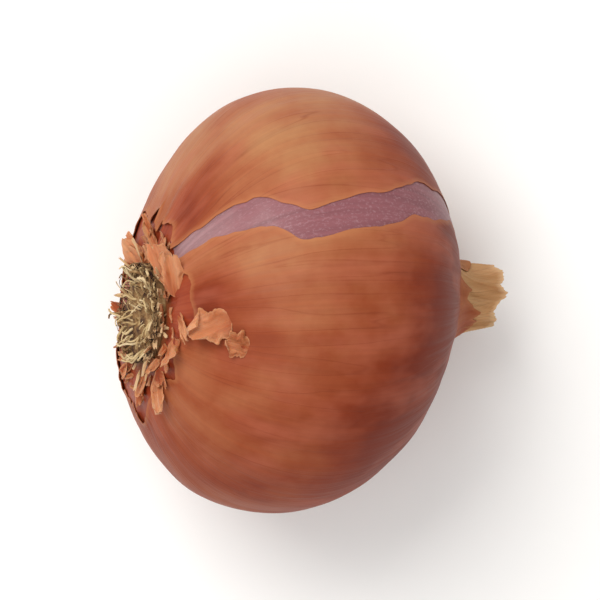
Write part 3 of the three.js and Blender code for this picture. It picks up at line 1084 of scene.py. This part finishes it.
@dataclass
class WitheredNeck:
    """The twisted, papery leaf bases at the tip, open and ragged at the end."""

    form: BulbForm
    under_rows: int = 6
    rows: int = 46
    cup_rows: int = 8
    cols: int = 168
    sunk: float = 0.66
    ragged: float = 0.35
    crinkle: float = 0.05
    # The open mouth: its depth in mm, its width at the rim, and how much it narrows inside
    cup_mm: float = 1.6
    cup_wide: float = 0.86
    cup_narrows: float = 0.62
    sharp_deg: float = 75.0
    seed: int = 77

    def build(self) -> bpy.types.Object:
        """Make the neck's folded tube with its torn mouth."""
        form, neck = self.form, self.form.neck
        rim = math.radians(neck.rim_deg)
        phi = np.arange(self.cols) * FULL_TURN / self.cols
        tooth = neck.teeth * (np.sin(neck.creases * phi + 0.7) + np.sin(neck.folds * phi + 2)) / 2
        mouth = neck.length + tooth - self.ragged * np.abs(fractal(circle(phi) * 9, 3, self.seed))

        under = np.linspace(math.pi, rim, self.under_rows + 1)[1:, None] + 0 * phi
        lower = form.skin(under, phi[None, :], -self.sunk)
        height = (np.arange(self.rows + 1)[:, None] / self.rows) ** 1.2 * mouth[None, :]
        fine = fractal(form.grain(1 + 0 * height, phi[None, :] + 0.1 * height) * 0.45, 3, 61)
        depth = self.sunk * np.exp(-height / 0.7) + 0.10
        shrink = 1 - depth / form.neck_girth(height)
        shrink = shrink + self.crinkle * smooth(height, 0.3, 2.5) * fine
        sink = np.arange(1, self.cup_rows + 1)[:, None] / self.cup_rows
        cup_height = mouth[None, :] - self.cup_mm * sink
        cup_shrink = shrink[-1][None, :] * (self.cup_wide - self.cup_narrows * sink**2)
        inside = form.neck_points(cup_height, phi, cup_shrink)
        rings = np.concatenate([lower, form.neck_points(height, phi, shrink), inside])
        first = form.skin(np.array([math.pi]), np.array([0.0]), -self.sunk)[0]

        heights = np.concatenate([0 * under, height, cup_height])
        to_hem = np.concatenate([0 * under + FAR_MM, mouth - height, 0 * cup_height])
        # Along the neck the tone varies at random. Inside the open mouth it is painted shade,
        # darker with depth down to its bottom, which is darkest; the part under the skin is held
        # darker too.
        tone_and_mouth_shade = np.concatenate([0 * under + 0.6, 0.28 + 0.25 * fine, 0.5 + 0.5 * sink + 0 * phi])
        grain = form.grain(rim + heights / form.axial_half, phi[None, :])
        parts = MeshParts()
        parts.add(
            capped(first, rings.reshape(-1, 3), inside[-1].mean(axis=0)),
            ring_faces(len(rings), self.cols),
            grain=capped([0, 0, 60], grain.reshape(-1, 3), [0, 0, 70]),
            edge=capped(FAR_MM, np.minimum(to_hem, FAR_MM).ravel(), FAR_MM),
            blush=capped(0.6, tone_and_mouth_shade.ravel(), 1.0))
        piece = parts.build("withered_neck", self.sharp_deg)
        return dress(piece, STRAW_PAPER, Slot.NECK, "neck")


@dataclass(frozen=True)
class RootKind:
    """How one kind of root grows, in mm and radians. Its tone runs from 0, straw, to 1, dark.

    The radius is the least, what is added at most, and the power of the draw between them. The
    bend away from the axis is its start and its limit.
    """

    length: Range
    radius: tuple[float, float, float]
    turn: float
    bend: Range
    taper: float
    tone: Range
    earthy: float = 0.0


STOUT_ROOT = RootKind((1.0, 3.4), (0.06, 0.14, 1.8), 0.9, (0.2, 1.5), 0.35, (0.0, 0.5), 0.3)
ROOT_HAIR = RootKind((1.4, 3.7), (0.04, 0.04, 1.0), 1.35, (0.7, 1.62), 0.55, (0.5, 1.0))


@dataclass
class RootTuft:
    """The corky plate and its clipped dry roots: stout straw ones inside, dark hairs round them."""

    form: BulbForm
    plate_deg: float = 12.6
    plate_rows: int = 26
    plate_cols: int = 96
    crown: float = 0.9
    rim: float = 0.1
    crust: float = 0.22
    buried: float = 0.6
    foot_depth: float = 0.15
    reach: float = 5.3
    low: float = 0.3
    stout_roots: int = 130
    hairs: int = 190
    rings: int = 12
    sides: int = 6
    seed: int = 16

    def plate(self, parts: MeshParts) -> None:
        """Add the plate, rough and domed."""
        rows = self.plate_rows
        out = np.concatenate([np.arange(1, rows + 1) / rows, [1.0, 0.66, 0.33]])
        theta, phi = np.broadcast_arrays(
            (math.radians(self.plate_deg) * out)[:, None],
            (np.arange(self.plate_cols) * FULL_TURN / self.plate_cols)[None, :])
        rough = fractal(self.form.body(theta, phi) / 0.8, 3, 91)
        lift = lerp(self.crown, self.rim, out[:, None] ** 2) + self.crust * rough
        lift[rows:] = -self.buried
        points = self.form.skin(theta, phi, lift).reshape(-1, 3)
        top, under = self.form.skin(np.zeros(2), np.zeros(2), np.array([self.crown, -self.buried]))
        parts.add(
            capped(top, points, under), ring_faces(len(out), self.plate_cols),
            tone=0.66 + 0.25 * capped(0.0, rough.ravel(), 0.0))

    def root(
        self, parts: MeshParts, draw: np.random.Generator, inner: float, kind: RootKind,
    ) -> None:
        """Add one root: it leaves the plate, turns outward, curls and ends cut off.

        Args:
            parts: What it is added to.
            draw: The seeded draw.
            inner: Its foot's place, 0 at the plate's middle to 1 at its rim.
            kind: How it grows.
        """
        form = self.form
        phi = draw.uniform(0, FULL_TURN)
        length = draw.uniform(*kind.length)
        least, added, power = kind.radius
        radius = least + added * draw.uniform() ** power
        turn = draw.uniform(-kind.turn, kind.turn)
        spread = lerp(0.25, 1.0, inner) * draw.uniform(0.6, 1.25)
        wave = draw.uniform(0.2, 0.9)
        phase = draw.uniform(0, FULL_TURN)
        foot_theta = np.array([math.radians(self.plate_deg) * inner])
        point = form.skin(foot_theta, np.array([phi]), -self.foot_depth)[0]
        middle = form.skin(np.array([0.0]), np.array([0.0]), 0.0)[0]
        (bend, most_bend), heading, centres = kind.bend, phi, []
        for i in range(self.rings):
            centres.append(point.copy())
            swing = heading + wave * math.sin(phase + 0.9 * i)
            outward = math.cos(swing) * form.upward + math.sin(swing) * form.sideways
            step = math.sin(bend) * outward - math.cos(bend) * form.axis
            point = point + step * length / (self.rings - 1)
            height = -(point - middle) @ form.axis
            across = (point - middle) + height * form.axis
            wide = np.linalg.norm(across)
            if wide > self.reach:
                point = point + across * (self.reach / wide - 1)
            if height < self.low:
                point = point + form.axis * (height - self.low)
            heading += turn * 4 / self.rings
            bend = min(bend + spread * 2.48 / self.rings, most_bend)
        ends = 1 - kind.taper * np.linspace(0, 1, self.rings)
        knots = 1 + 0.13 * np.sin(phase + 2.1 * np.arange(self.rings))
        points = tube_points(np.array(centres), radius * ends * knots, self.sides, form.sideways)
        tone = draw.uniform(*kind.tone)
        if kind.earthy:
            tone += 0.35 * (draw.uniform() < kind.earthy)
        # Each root is drawn darker over its first rings at the plate, most at its foot, and a
        # little darker at its cut end.
        darker_at_foot = np.repeat(np.clip(1 - np.arange(self.rings) / 4, 0, 1), self.sides) * 0.4
        parts.add(points, ring_faces(self.rings, self.sides), tone=tone + capped(0.4, darker_at_foot, 0.25))

    def build(self) -> bpy.types.Object:
        """Make the tuft as one piece."""
        parts = MeshParts()
        self.plate(parts)
        draw = np.random.default_rng(self.seed)
        for i in range(self.stout_roots):
            inner = 0.95 * math.sqrt((i + draw.uniform(0, 1)) / self.stout_roots)
            self.root(parts, draw, inner, STOUT_ROOT)
        for _ in range(self.hairs):
            self.root(parts, draw, draw.uniform(0.7, 0.98), ROOT_HAIR)
        return dress(parts.build("dry_root_tuft"), ROOT_FIBRE, Slot.ROOTS, "root_tuft")


@dataclass(frozen=True)
class FlakeShape:
    """One loose flake, in degrees and mm: foot place, heading, sizes, rise, curl and roll.

    Heading 0 points to the neck and 90 round the bulb. Foot and tip are widths as a share of the
    flake's own, skew draws it aside, and roll turns it about its own length.
    """

    theta: float
    phi: float
    heading: float
    length: float
    width: float
    foot: float
    tip: float
    skew: float
    rise: float
    curl: float
    cup: float
    roll: float


@dataclass
class SkinFlake:
    """A thin curled flake of older skin, torn at its outline and crumpled."""

    form: BulbForm
    relief: Relief
    shape: FlakeShape
    seed: int
    lift: float
    rows: int = 30
    cols: int = 20
    thick: float = 0.07
    crumple: float = 0.27
    ragged: float = 0.2
    shade: float = 0.0
    path_steps: int = 120

    def add_to(self, parts: MeshParts) -> None:
        """Add the flake's closed sheet to a mesh."""
        form, shape, seed = self.form, self.shape, self.seed
        t, p = math.radians(shape.theta), math.radians(shape.phi)
        at = (np.array([t]), np.array([p]))
        normal = form.normal(*at)[0]
        ahead = form.body(np.array([t + 0.01]), np.array([p]))[0] - form.body(*at)[0]
        around = np.cross(normal, ahead)
        around /= np.linalg.norm(around)
        heading, roll = math.radians(shape.heading), math.radians(shape.roll)
        ahead = np.cross(around, normal) * math.cos(heading) + around * math.sin(heading)
        level = np.cross(normal, ahead)
        across = level * math.cos(roll) + normal * math.sin(roll)
        face = normal * math.cos(roll) - level * math.sin(roll)
        start = form.skin(*at, self.lift + self.relief.at(*at))[0]

        # The outline in the flat: petal is its width and reach its length, as shares.
        share = (np.arange(self.rows + 1) / self.rows)[:, None]
        aside = (2 * np.arange(self.cols + 1) / self.cols - 1)[None, :]
        here, edge_at, tip_at = (
            np.stack(np.broadcast_arrays(*place), axis=-1) for place in (
                (share * 1.6, aside * 2.2, 0.1 * seed),
                (share * 5, np.where(aside > 0, 7.0, -7.0), 0.7 * seed),
                (aside * 3, 0.3 * seed, 5.0)))
        ends = lerp(shape.foot, shape.tip, share)
        petal = ends + (1 - ends) * np.sin(math.pi * share) ** 0.7
        petal = petal * (1 + self.ragged * fractal(edge_at, 4, seed)) * smooth(share, -0.12, 0.1)
        reach = share * (1 + self.ragged * fractal(tip_at, 4, seed + 3) * share)

        # It rises along a curve, and folds and crumples across it.
        steps = self.path_steps
        bends = np.radians(shape.rise + shape.curl * (np.arange(steps) + 0.5) / steps)
        path = np.stack([np.cos(bends), np.sin(bends)], axis=-1) * shape.length / steps
        path = np.concatenate([[[0, 0]], np.cumsum(path, axis=0)])
        along = np.clip(reach, 0, 1) * steps
        run, rise = (np.interp(along, np.arange(steps + 1), path[:, k])[..., None] for k in (0, 1))
        bend = np.radians(shape.rise + shape.curl * reach)[..., None]
        out = np.cos(bend) * face - np.sin(bend) * ahead
        spread = aside * shape.width * petal / 2 + shape.skew * share**2
        creased = 0.55 * np.sin(aside * math.pi * (1.4 + 0.2 * (seed % 4)) + seed)
        creased = self.crumple * (creased + fractal(here, 3, seed + 5)) * smooth(share, 0, 0.3)
        centre = start + run * ahead + rise * normal + spread[..., None] * across
        centre = centre + (shape.cup * aside**2 * share + creased)[..., None] * out

        to_side = (1 - np.abs(aside)) * shape.width * petal / 2
        parts.add_sheet(
            centre + out * self.thick / 2, centre - out * self.thick / 2,
            grain=np.stack([spread + 3.0 * seed, 0.3 * spread, reach * shape.length], axis=-1),
            edge=np.minimum(to_side, (1 - share) * shape.length),
            blush=0.26 + self.shade + 0.22 * fractal(here, 2, seed + 8) + 0.3 * (1 - share))


@dataclass(frozen=True)
class ScrapKind:
    """One set of small scraps: the ranges that each is drawn from, as FlakeShape has them."""

    name: str
    finish: Finish
    slot: Slot
    count: int
    seed: int
    rows: int
    cols: int
    lift: float
    length: Range
    theta: Range
    heading_spread: float
    width: Range
    foot: Range
    tip: Range
    rise: Range
    curl: Range
    cup: Range
    roll: float
    shade: Range
    width_by_length: bool = False

    def shape(self, draw: np.random.Generator) -> FlakeShape:
        """Draw one scrap's shape."""
        length = draw.uniform(*self.length)
        return FlakeShape(
            theta=draw.uniform(*self.theta), phi=draw.uniform(0, 360),
            heading=draw.normal(0, self.heading_spread), length=length,
            width=draw.uniform(*self.width) * (length if self.width_by_length else 1),
            foot=draw.uniform(*self.foot), tip=draw.uniform(*self.tip),
            skew=draw.uniform(-0.5, 0.5), rise=draw.uniform(*self.rise),
            curl=draw.uniform(*self.curl), cup=draw.uniform(*self.cup),
            roll=draw.uniform(-self.roll, self.roll))


SKIN_SHREDS = ScrapKind(
    "skin_shreds", PEACH_SKIN, Slot.FLAKE, count=72, seed=500, rows=10, cols=6, lift=-0.17,
    length=(0.9, 2.7), theta=(12.6, 20.5), heading_spread=45, width=(0.2, 0.65),
    foot=(0.3, 0.8), tip=(0.15, 0.7), rise=(4, 20), curl=(-10, 36), cup=(-0.2, 0.35),
    roll=30, shade=(-0.1, 0.6), width_by_length=True)
STRAW_STRIPS = ScrapKind(
    "straw_strips", STRAW_PAPER, Slot.NECK, count=46, seed=900, rows=12, cols=4, lift=0.0,
    length=(1.2, 2.8), theta=(8.0, 15.5), heading_spread=50, width=(0.25, 0.75),
    foot=(0.6, 1.0), tip=(0.2, 0.8), rise=(10, 42), curl=(-50, 10), cup=(-0.2, 0.2),
    roll=50, shade=(-0.2, 0.5))


@dataclass
class FlakeSet:
    """The nine large loose flakes, the small shreds between them and the strips among the roots."""

    form: BulbForm
    relief: Relief
    shapes: tuple[FlakeShape, ...] = (
        FlakeShape(19.8, 12, 66, 5.0, 2.7, 0.2, 0.55, -0.2, 20, 6, 0.35, 36),
        FlakeShape(15.6, 26, 62, 4.6, 2.9, 0.12, 0.9, 0.3, 16, 10, -0.3, 32),
        FlakeShape(17, 74, 48, 4.4, 1.0, 0.7, 0.4, -0.3, 12, 10, 0.1, 24),
        FlakeShape(43.5, -4, 206, 4.6, 3.9, 0.6, 0.5, 0.3, 9, 32, 0.35, 0),
        FlakeShape(51, -14, 166, 2.6, 2.7, 0.7, 0.6, -0.4, 12, 34, 0.3, 0),
        FlakeShape(21.5, 0, -46, 4.2, 1.3, 0.5, 0.6, -0.3, 10, 8, 0.1, 0),
        FlakeShape(19.5, -22, -18, 3.6, 2.6, 0.6, 0.7, 0.3, 12, 34, 0.4, -12),
        FlakeShape(17.5, -62, 4, 5.0, 2.2, 0.6, 0.3, 0.5, 8, 10, 0.3, 0),
        FlakeShape(15.5, 128, 10, 4.0, 3.0, 0.5, 0.4, -0.3, 5, 8, 0.3, 0),
    )
    skin_from_deg: float = 30.0
    scrap_thick: float = 0.06
    scrap_crumple: float = 0.12
    seed: int = 404

    def scraps(self, kind: ScrapKind, draw: np.random.Generator) -> bpy.types.Object:
        """Make one set of small scraps as one piece."""
        parts = MeshParts()
        for index in range(kind.count):
            scrap = SkinFlake(
                self.form, self.relief, kind.shape(draw), kind.seed + index, kind.lift,
                rows=kind.rows, cols=kind.cols, thick=self.scrap_thick,
                crumple=self.scrap_crumple, shade=draw.uniform(*kind.shade))
            scrap.add_to(parts)
        return dress(parts.build(kind.name), kind.finish, kind.slot)

    def build(self) -> None:
        """Make every flake, then the shreds and the strips from one draw."""
        for index, shape in enumerate(self.shapes, 1):
            # A flake that lies on the dry skin is more ragged than one that grows from the bulb.
            lift, crumple, ragged = (
                (-0.03, 0.36, 0.34) if shape.theta > self.skin_from_deg else (-0.22, 0.27, 0.22))
            parts = MeshParts()
            SkinFlake(
                self.form, self.relief, shape, 11 * index, lift,
                crumple=crumple, ragged=ragged).add_to(parts)
            piece = parts.build(f"curled_flake_{index}")
            dress(piece, PEACH_SKIN, Slot.FLAKE, f"skin_flake_{index}")
        draw = np.random.default_rng(self.seed)
        for kind in (SKIN_SHREDS, STRAW_STRIPS):
            self.scraps(kind, draw)


# Studio


@dataclass
class Studio:
    """A pale floor, soft daylight from above and the far side, and a camera straight above."""

    middle_mm: tuple[float, float, float] = (2.6, 0.8, 22.0)
    view_mm: float = 64.0
    height_mm: float = 620.0
    sensor_mm: float = 36.0
    floor_mm: float = 3000.0
    sky: str = "#FFFFFF"
    sky_strength: float = 0.53

    def floor(self) -> None:
        """Lay the floor, which isn't part of the object."""
        half = self.floor_mm / 2 * MM
        mesh = bpy.data.meshes.new("floor")
        mesh.from_pydata(
            [(-half, -half, 0), (half, -half, 0), (half, half, 0), (-half, half, 0)],
            [], [(0, 1, 2, 3)])
        board = bpy.data.objects.new("floor", mesh)
        board.data.materials.append(WHITE_BOARD.material())
        bpy.context.scene.collection.objects.link(board)

    def camera(self) -> None:
        """Set the camera straight above, with the neck to the right."""
        x, y, z = (value * MM for value in self.middle_mm)
        data = bpy.data.cameras.new("camera")
        data.sensor_width = self.sensor_mm
        data.lens = self.sensor_mm * self.height_mm / self.view_mm
        data.clip_start = 0.01
        data.dof.use_dof = False
        camera = bpy.data.objects.new("camera", data)
        camera.location = (x, y, z + self.height_mm * MM)
        bpy.context.scene.collection.objects.link(camera)
        bpy.context.scene.camera = camera

    def softbox(
        self, name: str, place: tuple[float, float, float], size: float, watts: float, colour: str,
    ) -> None:
        """Hang a square soft light that faces the shallot.

        Args:
            name: The light's name.
            place: Where it hangs, in metres.
            size: Its side, in metres.
            watts: Its power.
            colour: Its sRGB hex colour.
        """
        data = bpy.data.lights.new(name, "AREA")
        data.size = size
        data.energy = watts
        data.color = linear(colour)[:3]
        lamp = bpy.data.objects.new(name, data)
        lamp.location = place
        target = np.array(self.middle_mm) * MM
        away = np.array(place) - target
        flat = math.hypot(away[0], away[1])
        lamp.rotation_euler = (math.atan2(flat, away[2]), 0, math.atan2(away[0], -away[1]))
        bpy.context.scene.collection.objects.link(lamp)

    def build(self) -> None:
        """Set up floor, lights, sky and camera."""
        self.floor()
        self.camera()
        self.softbox("key", (-0.34, 0.42, 0.76), 0.6, 6.4, "#FFFDFA")
        self.softbox("fill", (-0.1, -0.4, 0.9), 0.9, 3.2, "#FFFFFF")
        world = bpy.data.worlds.new("studio_sky")
        world.use_nodes = True
        world.node_tree.nodes.clear()
        sky = add_node(world.node_tree, "Background", {
            "Color": self.sky, "Strength": self.sky_strength})
        add_node(world.node_tree, "OutputWorld", {"Surface": sky})
        bpy.context.scene.world = world
        bpy.context.scene.view_settings.view_transform = "Standard"


def main() -> None:
    """Build the studio and every piece of the shallot."""
    logging.basicConfig(level=logging.INFO, format="%(name)s %(message)s")
    form = BulbForm()
    split, torn, relief = SplitLine(), TornEdge(), Relief(form)
    Studio().build()
    FleshyBulb(form, split, relief).build()
    CopperSkin(form, split, torn, relief).build()
    WitheredNeck(form).build()
    RootTuft(form).build()
    FlakeSet(form, relief).build()


if __name__ == "__main__":
    main()
